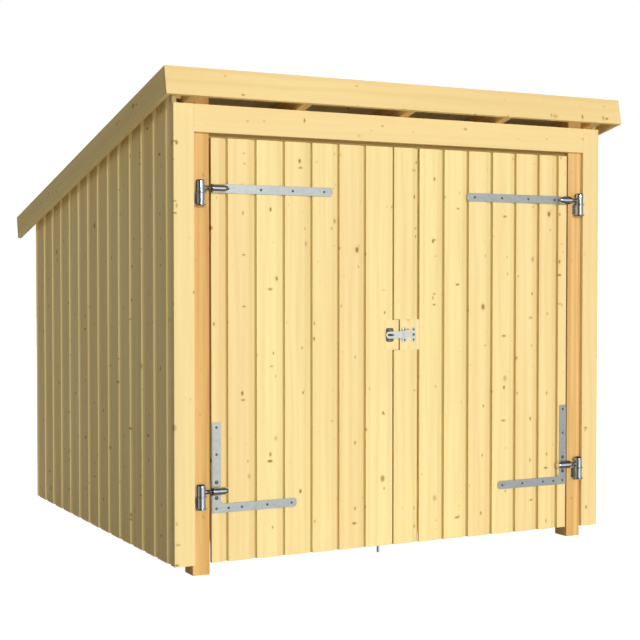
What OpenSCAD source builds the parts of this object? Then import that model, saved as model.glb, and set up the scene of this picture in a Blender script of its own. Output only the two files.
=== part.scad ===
// Timber bike shed with a single-pitch roof, board cladding and a pair of hung doors.
// Frame: origin on the ground under the middle of the roof, +Z up, -Y is the door side.

/* [Shed body] */
// Width over the two front corner boards
shed_w = 2280; // [1900:10:3000]
// Depth from the face of the corner boards to the back of the side cladding
shed_d = 2204; // [1700:2:2800]
// Height of the corner boards' top edge above the ground
trim_top = 2048; // [1850:2:2400]
// Free height under the cladding and the doors
clearance = 50; // [30:1:120]

/* [Timber frame] */
// Width of a post, across the front
post_w = 80; // [60:1:120]
// Depth of a post, front to back
post_d = 96; // [70:1:140]
// Width of a front corner board
corner_w = 95; // [80:1:130]
// How far a post reaches behind the corner board
post_lap = 3; // [0:1:10]
// Thickness of the corner boards and of the header board
trim_t = 21; // [16:1:28]
// Height of the header board over the doors
header_h = 121; // [90:1:150]
// Thickness of the beam behind the header board
beam_t = 45; // [36:1:60]
// Height of the front beam, which the doors shut against
beam_h = 130; // [125:1:145]
// Space between the door boards and the front beam
beam_gap = 5; // [5:0.5:8]
// Height of the back top plate
plate_h = 95; // [80:1:130]
// Height of a wall rail
rail_h = 45; // [36:1:70]
// Height of the lowest rail above the foot of the cladding
rail_low = 40; // [20:1:120]
// Height of the middle rail above the ground
rail_mid = 989; // [800:1:1100]

/* [Roof] */
// Pitch of the roof, falling to the back, in degrees
roof_pitch = 12.4; // [8:0.1:16]
// Reach of the roof in front of the corner boards
front_reach = 97; // [60:1:180]
// Reach of the roof behind the back wall
back_reach = 131; // [60:1:240]
// Reach of the fascia boards beyond the corner boards at each side
side_reach = 67; // [45:1:120]
// Height of the fascia boards
fascia_h = 125; // [119:1:150]
// Thickness of the fascia boards
fascia_t = 20; // [16:1:26]
// Width of a rafter
rafter_w = 45; // [36:1:60]
// Height of a rafter
rafter_h = 95; // [80:1:97]
// Thickness of the roof boards
deck_t = 18; // [14:1:18]
// Thickness of the roofing felt
felt_t = 3; // [2:0.5:4]

/* [Cladding] */
// Thickness of a cladding board
board_t = 20; // [18:1:26]
// Cover width of a wall board
wall_pitch = 161.4; // [120:0.2:180]
// Cover width of a door board
door_pitch = 138.4; // [110:0.2:150]
// Width of the rebate where the left leaf meets the right one
lap_w = 5; // [4:0.2:14]
// Depth of that rebate
lap_d = 8; // [6:0.5:12]
// Depth of the bevel along one edge of each board
bevel_d = 15; // [8:0.5:16]
// Width of that bevel as a share of the cover width
bevel_share = 0.28; // [0.2:0.01:0.36]
// Distance from the back of the corner board to the first wall board joint
first_joint = 36; // [20:1:80]

/* [Doors] */
// Gap between a door leaf and its post
door_gap = 9; // [6:1:14]
// Gap between the door leaves and the header board
head_gap = 19; // [16:1:24]
// Gap between the two leaves
leaf_gap = 7; // [7:0.5:12]
// Offset of the joint between the leaves to the left of the middle
meet_x = 41; // [30:1:60]
// Width of the edge strip on the right leaf
strip_w = 50; // [40:1:80]
// Height of a ledge on the back of a door
ledge_h = 95; // [80:1:120]
// Thickness of a ledge
ledge_t = 22; // [18:1:28]
// Height of the two lock blocks let into the leaves
block_h = 134; // [125:1:170]
// Height of the middle of the lock blocks above the ground
lock_z = 1034; // [950:1:1150]
// Reach of the left lock block behind the joint between the leaves
lock_lap = 49; // [40:1:60]
// Offset of the joint between the lock blocks to the left of the middle
lock_off = 9; // [6:1:12]
// Distance of a ledge's end from the hinge edge of its leaf
ledge_in = 30; // [20:1:60]
// Distance of a ledge's end from the joint between the leaves
ledge_out = 2; // [1:0.5:10]

/* [Hinges] */
// Sideways distance of a hinge line from the corner board
hinge_off = 27; // [26:1:32]
// Height of the upper straps above the ground
upper_z = 1688; // [1500:1:1750]
// Height of the lower hinge pins' rods above the ground
lower_z = 368; // [340:1:480]
// Width of a strap
strap_w = 40; // [34:1:46]
// Thickness of a strap
strap_t = 5; // [4:0.5:6]
// Length of an upper strap
upper_l = 592; // [400:2:700]
// Length of the level leg of a lower angle strap
lower_l = 410; // [300:2:500]
// Height of the upright leg of a lower angle strap
lower_h = 398; // [300:2:440]
// Drop from the rod of a lower hinge to the foot of its angle strap
foot_drop = 100; // [90:1:130]
// Radius of the corners at the head of an angle strap's upright leg
leg_r = 6; // [3:0.5:12]
// Radius of the inner corner of an angle strap
corner_r = 18; // [10:1:30]
// Length of the sleeve that takes an eye's rod
sleeve_l = 72; // [66:1:90]
// Reach of a sleeve past the hinge edge of its leaf
sleeve_out = 8; // [0:1:12]
// Radius of a hinge barrel
barrel_r = 20; // [16:0.5:21]
// Height of the eye on a door
eye_h = 52; // [44:1:60]
// Distance from the rod up to the top of the eye
eye_up = 35; // [30:1:40]
// Height of the pin body on a post
pintle_h = 58; // [48:1:70]
// Thickness of the plate that holds a pin body to its post
plate_t = 4; // [3:0.5:6]
// Width of that plate
plate_w = 45; // [40:1:50]
// Radius of a hinge pin
pin_r = 10; // [8:0.5:11]
// Radius of the rod that carries an eye
rod_r = 9; // [7:0.5:10]

/* [Hasp and drop bolt] */
// Width of the hasp arm
arm_w = 33; // [26:1:38]
// Length of the hasp arm from its pin
arm_l = 92; // [88:1:100]
// Thickness of the hasp sheet
sheet_t = 3; // [2:0.5:4]
// Radius of the hasp's knuckles
knuckle_r = 5; // [4:0.5:6]
// Radius of the hasp's pin
hasp_pin_r = 2.5; // [2:0.1:3]
// Length of each outer knuckle of the hasp
knuckle_l = 12; // [8:1:14]
// Length of the hasp's fixed plate
plate_l = 75; // [66:1:80]
// Radius of the plate's round lobes
lobe_r = 13; // [10:0.5:15]
// Distance of a lobe from the middle of the plate
lobe_z = 24; // [18:1:28]
// Distance from the hasp's pin to the staple's eye
staple_x = 67; // [64:1:69]
// Width of the staple's eye
tab_w = 18; // [16:0.5:20]
// Reach of the staple's eye in front of the boards
tab_l = 24; // [22:1:28]
// Thickness of the staple's eye
tab_t = 5; // [4:0.5:6]
// Radius of the hole for a padlock in the staple
eye_r = 5; // [4:0.5:5.5]
// Radius of the drop bolt
bolt_r = 7; // [5:0.5:9]
// Distance of the drop bolt from the edge of the left leaf
bolt_in = 45; // [36:1:60]
// Height of the drop bolt's tip above the ground
bolt_tip = 8; // [5:1:20]
// Length of the drop bolt
bolt_l = 430; // [420:2:500]
// Length of the drop bolt's side handle
handle_l = 60; // [40:1:90]
// Width of the collar that stops the drop bolt on its guide
collar_w = 4; // [3:0.5:6]
// Height of a guide loop on the drop bolt's plate
loop_h = 13; // [10:1:16]

/* [Hidden] */
$fn = 48;
roof_plan = front_reach + shed_d + back_reach;
roof_l = roof_plan / cos(roof_pitch);
roof_hw = shed_w / 2 + side_reach;
// Lower front edge of the front fascia
y_eave = -(roof_plan + fascia_h * sin(roof_pitch)) / 2;
// Face of the corner boards, and face of the posts and doors behind it
y_trim = y_eave + front_reach;
y_face = y_trim + trim_t;
z_eave = trim_top + front_reach * tan(roof_pitch);
// Side walls, from the post outwards
post_out = shed_w / 2 - corner_w + post_lap;
post_in = post_out - post_w;
clad_out = shed_w / 2 - 2;
clad_in = clad_out - board_t;
// Back wall
y_back = y_trim + shed_d - 2;
y_back_in = y_back - board_t;
y_rail = y_back_in - (clad_in - post_out);
// Doors
door_z0 = clearance;
door_z1 = trim_top - header_h - head_gap;
leaf_out = post_in - door_gap;
left_end = -meet_x - leaf_gap / 2;
right_end = -meet_x + leaf_gap / 2;
lap_end = right_end + door_pitch;
y_ledge = y_face + board_t;
y_ledge_back = y_ledge + ledge_t;
y_beam = y_ledge + beam_gap;
ledge_mid = [lower_z - foot_drop + strap_w / 2, lock_z, upper_z];
// Lock blocks: joint, outer ends, and height of the right one with its margin
lock_x0 = -meet_x - lock_lap;
lock_left = -lock_off - leaf_gap / 2;
lock_right = -lock_off + leaf_gap / 2;
lock_hh = block_h / 2 + leaf_gap / 2 + 1;
// Hinges
hinge_x = shed_w / 2 - corner_w - hinge_off;
hinge_y = y_face - barrel_r - plate_t;
sleeve_r = barrel_r + plate_t - 1 - strap_t;
play = 0.3;
// Hasp
hasp_x = lock_right + 11;
hasp_y = y_face - sheet_t - knuckle_r - 0.5;
// Drop bolt
bolt_x = left_end - bolt_in;
bolt_y = y_ledge_back + plate_t + collar_w + bolt_r + 1;

// Places children in the plane of the rafters' undersides: y runs down the slope, z is square to it.
module on_roof() {
    translate([0, y_eave, z_eave]) rotate([-roof_pitch, 0, 0]) children();
}

// Cuts children off along the slope, h above the rafters' undersides.
module under_roof(h) {
    difference() {
        children();
        on_roof() translate([-2 * roof_hw, -roof_l, h]) cube([4 * roof_hw, 3 * roof_l, roof_l]);
    }
}

module box(x0, x1, y0, y1, z0, z1) {
    translate([x0, y0, z0]) cube([x1 - x0, y1 - y0, z1 - z0]);
}

// Places of the board joints from f on, one cover width p apart, as far as l.
function joints(f, p, l) = [for (i = [0 : ceil((l - f) / p)]) if (f + i * p < l - 1) f + i * p];

// Cross section of a run of boards of cover width p: u from 0 to l, with a joint at each place and a
// bevel after it; a rebated run starts with a thinner lap.
module boards_2d(l, p, places, rebated = false) {
    b = p * bevel_share;
    e = l - places[len(places) - 1];
    polygon(concat([[0, 0]],
        rebated ? [[0, board_t - lap_d], [lap_w, board_t - lap_d], [lap_w + b * lap_d / bevel_d, board_t]]
            : [[0, board_t]],
        [for (u = places) each concat([[u, board_t], [u, board_t - bevel_d]],
            u + b < l ? [[u + b, board_t]] : [])],
        [[l, e < b ? board_t - bevel_d * (1 - e / b) : board_t], [l, 0]]));
}

// Corner posts, standing on the ground and cut to the roof boards.
module post(sx, y0) {
    color("#d9a566") under_roof(rafter_h)
        box(sx < 0 ? -post_out : post_in, sx < 0 ? -post_in : post_out, y0, y0 + post_d,
            0, z_eave + fascia_h);
}
module front_left_post() { post(-1, y_face); }
module front_right_post() { post(1, y_face); }
module back_left_post() { post(-1, y_rail - post_d); }
module back_right_post() { post(1, y_rail - post_d); }

// Boards that cover the front corners, and the header board between them.
module corner_board(sx) {
    color("#f0d394") under_roof(0)
        box(sx < 0 ? -shed_w / 2 : shed_w / 2 - corner_w, sx < 0 ? -shed_w / 2 + corner_w : shed_w / 2,
            y_trim, y_face, clearance, z_eave);
}
module front_left_corner_board() { corner_board(-1); }
module front_right_corner_board() { corner_board(1); }
module header_board() {
    color("#f0d394") under_roof(0)
        box(-shed_w / 2 + corner_w, shed_w / 2 - corner_w, y_trim, y_face, trim_top - header_h, z_eave);
}

// Beam between the front posts and plate along the back wall, both bevelled to carry the rafters.
module front_beam() {
    color("#e3bb7c") under_roof(0)
        box(-post_in, post_in, y_beam, y_beam + beam_t,
            trim_top - (y_beam + beam_t - y_trim) * tan(roof_pitch) - beam_h, z_eave);
}
module back_top_plate() {
    color("#e3bb7c") under_roof(0)
        box(-post_out, post_out, y_rail, y_back_in,
            trim_top - (y_back_in - y_trim) * tan(roof_pitch) - plate_h, trim_top);
}

// Level rails between the posts and the cladding, with a sloping batten beside the outer rafter.
module side_rails() {
    color("#e3bb7c") {
        for (z = [clearance + rail_low, rail_mid - rail_h / 2])
            box(post_out, clad_in, y_face, y_back_in, z, z + rail_h);
        on_roof()
            translate([post_out + rafter_w, (y_face - y_eave) / cos(roof_pitch), (rafter_h - rail_h) / 2])
            cube([clad_in - post_out - rafter_w,
                (y_back_in - y_face - rafter_h * sin(roof_pitch)) / cos(roof_pitch), rail_h]);
    }
}
module right_wall_rails() { side_rails(); }
module left_wall_rails() { mirror([1, 0, 0]) side_rails(); }
module back_wall_rails() {
    color("#e3bb7c") for (z = [clearance + rail_low, rail_mid - rail_h / 2])
        box(-post_out, post_out, y_rail, y_back_in, z, z + rail_h);
}

// Upright lapped boards with one bevelled edge, on the side walls and the back wall.
module side_cladding() {
    l = shed_d - trim_t;
    color("#efd08e") under_roof(rafter_h)
        translate([clad_in, y_face, clearance]) linear_extrude(z_eave + fascia_h - clearance)
            mirror([1, -1]) boards_2d(l, wall_pitch, joints(first_joint, wall_pitch, l));
}
module right_wall_cladding() { side_cladding(); }
module left_wall_cladding() { mirror([1, 0, 0]) side_cladding(); }
module back_wall_cladding() {
    color("#efd08e") under_roof(0)
        translate([-clad_in, y_back_in, clearance]) linear_extrude(trim_top)
            boards_2d(2 * clad_in, wall_pitch, joints(first_joint, wall_pitch, 2 * clad_in));
}

// Rafters: the outer pair beside the posts, the others at even distances between. They run out to the back.
module rafters() {
    color("#e3bb7c") on_roof() for (i = [-2 : 2])
        translate([i * (post_out + rafter_w / 2) / 2 - rafter_w / 2, fascia_t, 0])
            cube([rafter_w, roof_l - fascia_t, rafter_h]);
}

// Roof boards on the rafters, with felt over them.
module roof_boards() {
    color("#cfa768") on_roof() translate([-roof_hw + fascia_t, fascia_t, rafter_h])
        cube([2 * (roof_hw - fascia_t), roof_l - fascia_t, deck_t]);
}
module roof_felt() {
    color("#4a4b4c") on_roof() translate([-roof_hw + fascia_t, fascia_t, rafter_h + deck_t])
        cube([2 * (roof_hw - fascia_t), roof_l - fascia_t, felt_t]);
}

// Fascia boards along the front and both sides of the roof; the back is open so that rain runs off.
module front_fascia() {
    color("#f2d698") on_roof() translate([-roof_hw, 0, 0]) cube([2 * roof_hw, fascia_t, fascia_h]);
}
module right_fascia() {
    color("#f2d698") on_roof() translate([roof_hw - fascia_t, fascia_t, 0])
        cube([fascia_t, roof_l - fascia_t, fascia_h]);
}
module left_fascia() { mirror([1, 0, 0]) right_fascia(); }

// Door leaves of lapped boards; the left one is cut out for its lock block.
module left_door_boards() {
    l = leaf_out + left_end;
    color("#f3d998") difference() {
        translate([left_end, y_ledge, door_z0]) linear_extrude(door_z1 - door_z0)
            rotate(180) boards_2d(l, door_pitch, joints(lap_w + door_pitch, door_pitch, l), true);
        box(lock_x0, left_end + 1, y_face - 1, y_ledge + 1, lock_z - block_h / 2, lock_z + block_h / 2);
    }
}
module right_door_boards() {
    l = leaf_out - lap_end;
    n = floor((l - strip_w - lap_w) / door_pitch - bevel_share);
    color("#f3d998") translate([leaf_out, y_ledge, door_z0]) linear_extrude(door_z1 - door_z0) rotate(180)
        boards_2d(l, door_pitch, concat([strip_w], joints(l - n * door_pitch, door_pitch, l)));
}

// First board of the right leaf, which laps past the middle, above and below the lock blocks.
module right_lap_board() {
    b = door_pitch * bevel_share;
    color("#f3d998") for (z = [[door_z0, lock_z - lock_hh], [lock_z + lock_hh, door_z1]])
        translate([lap_end, y_ledge, z[0]]) linear_extrude(z[1] - z[0]) rotate(180)
            polygon([[0, 0], [0, board_t - bevel_d], [b, board_t], [door_pitch, board_t], [door_pitch, 0]]);
}

// Ledges across the backs of the leaves.
module left_door_ledges() {
    color("#e3bb7c") for (z = ledge_mid)
        box(-leaf_out + ledge_in, z == lock_z ? lock_left : left_end - ledge_out, y_ledge, y_ledge_back,
            z - ledge_h / 2, z + ledge_h / 2);
}
module right_door_ledges() {
    color("#e3bb7c") for (z = ledge_mid)
        box(z == lock_z ? lock_right : right_end + ledge_out, leaf_out - ledge_in, y_ledge, y_ledge_back,
            z - ledge_h / 2, z + ledge_h / 2);
}

// Blocks let in flush with the boards, which carry the hasp and its staple.
module left_lock_block() {
    color("#f3d998") box(lock_x0, lock_left, y_face, y_ledge, lock_z - block_h / 2, lock_z + block_h / 2);
}
module right_lock_block() {
    color("#f3d998") box(lock_right, lap_end, y_face, y_ledge, lock_z - lock_hh, lock_z + lock_hh);
}

// Hinge pin on its plate, fixed to a post; drawn for the right side, the eye's rod at height z.
module pintle(z) {
    zt = z + eye_up - eye_h - 0.5;
    color("#c8ccd0") {
        translate([hinge_x, hinge_y, zt - pintle_h]) rotate_extrude()
            polygon([[0, 0], [barrel_r + 3, 0], [barrel_r + 3, 4], [barrel_r, 5], [barrel_r, pintle_h - 5],
                [barrel_r + 3, pintle_h - 4], [barrel_r + 3, pintle_h], [pin_r, pintle_h],
                [pin_r, pintle_h + eye_h - 16], [pin_r - 2, pintle_h + eye_h - 14],
                [0, pintle_h + eye_h - 14]]);
        box(hinge_x - plate_w / 2 - 2, hinge_x + plate_w / 2 - 2, y_face - plate_t - 1, y_face,
            zt - pintle_h + 6, zt - 6);
    }
}
module right_upper_pintle() { pintle(upper_z); }
module right_lower_pintle() { pintle(lower_z); }
module left_upper_pintle() { mirror([1, 0, 0]) pintle(upper_z); }
module left_lower_pintle() { mirror([1, 0, 0]) pintle(lower_z); }

// Eye that turns on the hinge pin, with the rod that runs into the strap's sleeve.
module eye(z) {
    color("#c8ccd0") {
        translate([hinge_x, hinge_y, z + eye_up - eye_h]) rotate_extrude()
            polygon([[pin_r + play, 0], [barrel_r, 0], [barrel_r, eye_h - 7], [barrel_r - 3, eye_h - 2],
                [barrel_r - 7, eye_h], [0, eye_h], [0, eye_h - 12], [pin_r + play, eye_h - 12]]);
        translate([hinge_x - pin_r - 2, hinge_y, z]) rotate([0, -90, 0])
            cylinder(r = rod_r, h = hinge_x - pin_r - 2 - leaf_out - sleeve_out + sleeve_l - 20);
    }
}
module right_upper_eye() { eye(upper_z); }
module right_lower_eye() { eye(lower_z); }
module left_upper_eye() { mirror([1, 0, 0]) eye(upper_z); }
module left_lower_eye() { mirror([1, 0, 0]) eye(lower_z); }

// Sleeve on a strap that takes the eye's rod, tapering to its closed end, on a saddle.
module sleeve(z) {
    translate([leaf_out + sleeve_out, hinge_y, z]) rotate([0, -90, 0]) rotate_extrude()
        polygon([[rod_r + 0.1, 0], [sleeve_r - 2, 0], [sleeve_r, 3], [sleeve_r, sleeve_l - 18],
            [sleeve_r - 5, sleeve_l], [0, sleeve_l], [0, sleeve_l - 10], [rod_r + 0.1, sleeve_l - 10]]);
    box(leaf_out + sleeve_out - sleeve_l + 20, leaf_out - 10,
        hinge_y + (rod_r + sleeve_r) / 2, y_face - strap_t + 1, z - sleeve_r * 0.45, z + sleeve_r * 0.45);
}

// Points on an arc about [x, y], from angle a to angle b in degrees.
function arc(x, y, r, a, b) =
    [for (i = [0 : 6]) let (t = a + (b - a) * i / 6) [x + r * cos(t), y + r * sin(t)]];

// Upper strap, level on the face of a leaf, with rounded corners at its free end.
module upper_strap() {
    r = strap_w / 3;
    h = strap_w / 2;
    color("#b4bcc4") {
        translate([leaf_out - 1, y_face, upper_z]) rotate([90, 0, 0]) linear_extrude(strap_t)
            polygon(concat([[0, -h], [0, h]], arc(r - upper_l, h - r, r, 90, 180),
                arc(r - upper_l, r - h, r, 180, 270)));
        sleeve(upper_z);
    }
}
module right_upper_strap() { upper_strap(); }
module left_upper_strap() { mirror([1, 0, 0]) upper_strap(); }

// Lower angle strap, with an upright leg along the hinge edge of a leaf and a round inner corner.
module lower_strap() {
    r = strap_w / 3;
    w = strap_w;
    color("#b4bcc4") {
        translate([leaf_out - 1, y_face, lower_z - foot_drop]) rotate([90, 0, 0]) linear_extrude(strap_t)
            polygon(concat([[0, 0]], arc(-leg_r, lower_h - leg_r, leg_r, 0, 90),
                arc(leg_r - w, lower_h - leg_r, leg_r, 90, 180),
                arc(-w - corner_r, w + corner_r, corner_r, 0, -90), arc(r - lower_l, w - r, r, 90, 180),
                arc(r - lower_l, r, r, 180, 270)));
        sleeve(lower_z);
    }
}
module right_lower_strap() { lower_strap(); }
module left_lower_strap() { mirror([1, 0, 0]) lower_strap(); }

// Hasp: fixed plate with round lobes and the outer knuckles, with the pin.
module hasp_plate() {
    color("#b9bfc5") {
        translate([hasp_x, y_face, lock_z]) rotate([90, 0, 0]) linear_extrude(sheet_t) {
            translate([0, -11]) square([plate_l - lobe_r, 22]);
            for (x = [lobe_r, plate_l - lobe_r]) {
                translate([x - lobe_r, -lobe_z]) square([2 * lobe_r, 2 * lobe_z]);
                for (s = [-1, 1]) translate([x, s * lobe_z]) circle(r = lobe_r);
            }
        }
        for (z = [-arm_w / 2 - play - knuckle_l, arm_w / 2 + play]) {
            translate([hasp_x, hasp_y, lock_z + z]) cylinder(r = knuckle_r, h = knuckle_l);
            box(hasp_x, hasp_x + knuckle_r, hasp_y, y_face, lock_z + z, lock_z + z + knuckle_l);
        }
        translate([hasp_x, hasp_y, lock_z - arm_w / 2 - knuckle_l])
            cylinder(r = hasp_pin_r, h = arm_w + 2 * knuckle_l);
    }
}

// Hasp arm with its knuckle and the slot that passes over the staple.
module hasp_arm() {
    xe = hasp_x - arm_l + arm_w / 2;
    slot_l = tab_w + 12;
    color("#c3c9ce") difference() {
        union() {
            translate([hasp_x, hasp_y, lock_z - arm_w / 2]) cylinder(r = knuckle_r, h = arm_w);
            box(xe, hasp_x, hasp_y - knuckle_r, hasp_y - knuckle_r + sheet_t,
                lock_z - arm_w / 2, lock_z + arm_w / 2);
            translate([xe, hasp_y - knuckle_r + sheet_t, lock_z]) rotate([90, 0, 0])
                cylinder(r = arm_w / 2, h = sheet_t);
        }
        translate([hasp_x, hasp_y, lock_z - arm_w]) cylinder(r = hasp_pin_r + play, h = 2 * arm_w);
        box(hasp_x - staple_x - slot_l / 2 - 1, hasp_x - staple_x + slot_l / 2 - 1, hasp_y - knuckle_r - 1,
            hasp_y + sheet_t, lock_z - tab_t, lock_z + tab_t);
    }
}

// Staple on the left lock block: a plate with rounded corners and a flat eye for a padlock.
module hasp_staple() {
    xm = hasp_x - staple_x;
    color("#8f959b") {
        translate([xm, y_face, lock_z]) rotate([90, 0, 0]) linear_extrude(sheet_t) {
            translate([-11, -32]) square([22, 64]);
            translate([-20, -23]) square([40, 46]);
            for (x = [-11, 11], z = [-23, 23]) translate([x, z]) circle(r = 9);
        }
        difference() {
            union() {
                box(xm - tab_w / 2, xm + tab_w / 2, y_face - tab_l, y_face,
                    lock_z - tab_t / 2, lock_z + tab_t / 2);
                translate([xm, y_face - tab_l, lock_z - tab_t / 2]) cylinder(r = tab_w / 2, h = tab_t);
            }
            translate([xm, y_face - tab_l, lock_z - tab_t]) cylinder(r = eye_r, h = 2 * tab_t);
        }
    }
}

// Drop bolt behind the left leaf, with a collar and a side handle.
module drop_bolt() {
    color("#9aa0a6") {
        translate([bolt_x, bolt_y, bolt_tip]) rotate_extrude()
            polygon([[0, 0], [bolt_r - 2, 0], [bolt_r, 3], [bolt_r, bolt_l], [0, bolt_l]]);
        translate([bolt_x, bolt_y, bolt_tip + bolt_l - bolt_r]) rotate([0, -90, 0])
            cylinder(r = bolt_r, h = handle_l);
        translate([bolt_x, bolt_y, ledge_mid[0] + ledge_h / 4 + play])
            cylinder(r = bolt_r + collar_w, h = collar_w);
    }
}

// Plate on the lowest ledge with two loops that guide the drop bolt.
module drop_bolt_guides() {
    w = bolt_r + collar_w;
    color("#9aa0a6") difference() {
        union() {
            box(bolt_x - w - bolt_r, bolt_x + w + bolt_r, y_ledge_back, y_ledge_back + plate_t,
                ledge_mid[0] - ledge_h / 2 + plate_t, ledge_mid[0] + ledge_h / 2 - plate_t);
            for (z = [-ledge_h / 4 - loop_h, ledge_h / 4 - loop_h])
                box(bolt_x - w, bolt_x + w, y_ledge_back, bolt_y + w,
                    ledge_mid[0] + z, ledge_mid[0] + z + loop_h);
        }
        translate([bolt_x, bolt_y, ledge_mid[0] - ledge_h]) cylinder(r = bolt_r + play, h = 2 * ledge_h);
    }
}

front_left_post();
front_right_post();
back_left_post();
back_right_post();
front_left_corner_board();
front_right_corner_board();
header_board();
front_beam();
back_top_plate();
left_wall_rails();
right_wall_rails();
back_wall_rails();
left_wall_cladding();
right_wall_cladding();
back_wall_cladding();
rafters();
roof_boards();
roof_felt();
front_fascia();
left_fascia();
right_fascia();
left_door_boards();
left_door_ledges();
left_lock_block();
right_door_boards();
right_lap_board();
right_door_ledges();
right_lock_block();
left_upper_pintle();
left_lower_pintle();
right_upper_pintle();
right_lower_pintle();
left_upper_eye();
left_lower_eye();
right_upper_eye();
right_lower_eye();
left_upper_strap();
left_lower_strap();
right_upper_strap();
right_lower_strap();
hasp_plate();
hasp_arm();
hasp_staple();
drop_bolt();
drop_bolt_guides();
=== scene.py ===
import math
import random

import bmesh
import bpy
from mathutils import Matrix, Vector


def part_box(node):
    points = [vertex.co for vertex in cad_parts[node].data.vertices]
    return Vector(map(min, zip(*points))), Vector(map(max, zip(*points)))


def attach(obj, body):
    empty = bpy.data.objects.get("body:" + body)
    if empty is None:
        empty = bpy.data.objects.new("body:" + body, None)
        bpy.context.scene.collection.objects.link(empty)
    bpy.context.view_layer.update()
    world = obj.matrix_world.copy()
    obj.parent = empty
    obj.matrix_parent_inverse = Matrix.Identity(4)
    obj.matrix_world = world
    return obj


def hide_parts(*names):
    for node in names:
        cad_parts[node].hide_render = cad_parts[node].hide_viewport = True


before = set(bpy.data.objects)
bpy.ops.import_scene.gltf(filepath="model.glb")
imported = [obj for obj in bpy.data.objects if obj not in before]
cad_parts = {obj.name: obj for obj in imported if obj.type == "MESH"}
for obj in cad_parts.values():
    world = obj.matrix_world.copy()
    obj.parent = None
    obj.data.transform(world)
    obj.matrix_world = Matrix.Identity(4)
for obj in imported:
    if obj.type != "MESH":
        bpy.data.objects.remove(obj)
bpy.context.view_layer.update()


# The set: a pale studio floor, a key lamp and a fill lamp in front of the doors, a lamp behind for the other
# sides, a soft white surround, and the camera where the photographer stood, low and to the left of the doors.
scene = bpy.context.scene
scene.view_settings.view_transform = "Standard"
YAW, TILT, STAND = 0.474, -0.028, (-3.21305, -6.5433, 1.27937)
camera = bpy.data.objects.new("camera", bpy.data.cameras.new("camera"))
camera.data.lens, camera.data.sensor_width = 75.66, 36.0
camera.location = STAND
aim = Vector((math.sin(YAW) * math.cos(TILT), math.cos(YAW) * math.cos(TILT), math.sin(TILT)))
camera.rotation_mode = "QUATERNION"
camera.rotation_quaternion = aim.to_track_quat("-Z", "Y")
scene.collection.objects.link(camera)
scene.camera = camera


def linear(code):
    """An sRGB hex value as linear red, green, blue and alpha."""
    parts = [int(code[i:i + 2], 16) / 255 for i in (1, 3, 5)]
    return [c / 12.92 if c <= 0.04045 else ((c + 0.055) / 1.055) ** 2.4 for c in parts] + [1.0]


def wire(tree, kind, sockets=None, **settings):
    """Adds one node with its settings, and sets or links the named sockets."""
    node = tree.nodes.new("ShaderNode" + kind)
    for key, value in settings.items():
        setattr(node, key, value)
    for socket, value in (sockets or {}).items():
        if isinstance(value, bpy.types.NodeSocket):
            tree.links.new(value, node.inputs[socket])
        else:
            node.inputs[socket].default_value = value
    return node


# Painted studio floor: matt pale grey with a breath of cloudiness. Round the shed the lens sees it lifted to
# meet the white surround; an oval of ground inside the shed and close behind it is left in the shade.
floor_paint = bpy.data.materials.new("matt studio floor paint")
floor_paint.use_nodes = True
tree = floor_paint.node_tree
CLOUD_SIZE = 1.4
cloud = wire(tree, "TexNoise", {"Scale": 1 / CLOUD_SIZE, "Detail": 2.0}).outputs[0]
shade = wire(tree, "Mix", {0: cloud, 6: linear("#e4e5e6"), 7: linear("#ebecec")}, data_type="RGBA").outputs[2]
surface = tree.nodes["Principled BSDF"]
tree.links.new(shade, surface.inputs["Base Color"])
tree.links.new(shade, surface.inputs["Emission Color"])
surface.inputs["Roughness"].default_value = 0.9
surface.inputs["Specular IOR Level"].default_value = 0.0
FLOOR_GLOW, SHADE_X, SHADE_Y, SHADE_BACK, SHADE_EDGE = 1.1, 0.93, 1.06, 0.375, (0.97, 1.12)
here = wire(tree, "NewGeometry").outputs["Position"]
sizes, middle = (1 / SHADE_X, 1 / SHADE_Y, 0), (0, -SHADE_BACK / SHADE_Y, 0)
spread = wire(tree, "VectorMath", {0: here, 1: sizes, 2: middle}, operation="MULTIPLY_ADD").outputs[0]
reach = wire(tree, "VectorMath", {0: spread}, operation="LENGTH").outputs["Value"]
lift = wire(tree, "MapRange", {0: reach, 1: SHADE_EDGE[0], 2: SHADE_EDGE[1], 4: FLOOR_GLOW},
            interpolation_type="SMOOTHSTEP").outputs[0]
rays = wire(tree, "LightPath")
glow = wire(tree, "Math", {0: rays.outputs["Is Camera Ray"], 1: lift}, operation="MULTIPLY").outputs[0]
tree.links.new(glow, surface.inputs["Emission Strength"])
clear = wire(tree, "BsdfTransparent").outputs[0]
mirrored = rays.outputs["Is Glossy Ray"]
cover = wire(tree, "MixShader", {0: mirrored, 1: surface.outputs[0], 2: clear}).outputs[0]
tree.links.new(cover, tree.nodes["Material Output"].inputs["Surface"])
FLOOR_HALF, FLOOR_Z = 40.0, -0.0005
floor_mesh = bpy.data.meshes.new("studio_floor")
corners = ((-1, -1), (1, -1), (1, 1), (-1, 1))
floor_mesh.from_pydata([(x * FLOOR_HALF, y * FLOOR_HALF, FLOOR_Z) for x, y in corners], [], [(0, 1, 2, 3)])
floor_mesh.materials.append(floor_paint)
floor = bpy.data.objects.new("studio_floor", floor_mesh)
scene.collection.objects.link(floor)

# Each lamp has a strength, a softness in degrees, a direction, and shadows or none.
LAMPS = (("key", 1.50, 3, (0.11, 1.0, -0.22), True), ("front_fill", 1.06, 5, (0.0, 1.0, -0.19), False),
         ("rear", 1.1, 12, (-0.6, -0.9, -0.6), True))
WARM_WHITE = (1.0, 0.985, 0.945)
for lamp, power, soft, way, shadows in LAMPS:
    light = bpy.data.objects.new(lamp, bpy.data.lights.new(lamp, "SUN"))
    light.data.energy, light.data.angle = power, math.radians(soft)
    light.data.color, light.data.use_shadow = WARM_WHITE, shadows
    light.rotation_mode = "QUATERNION"
    light.rotation_quaternion = Vector(way).to_track_quat("-Z", "Y")
    scene.collection.objects.link(light)

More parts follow.
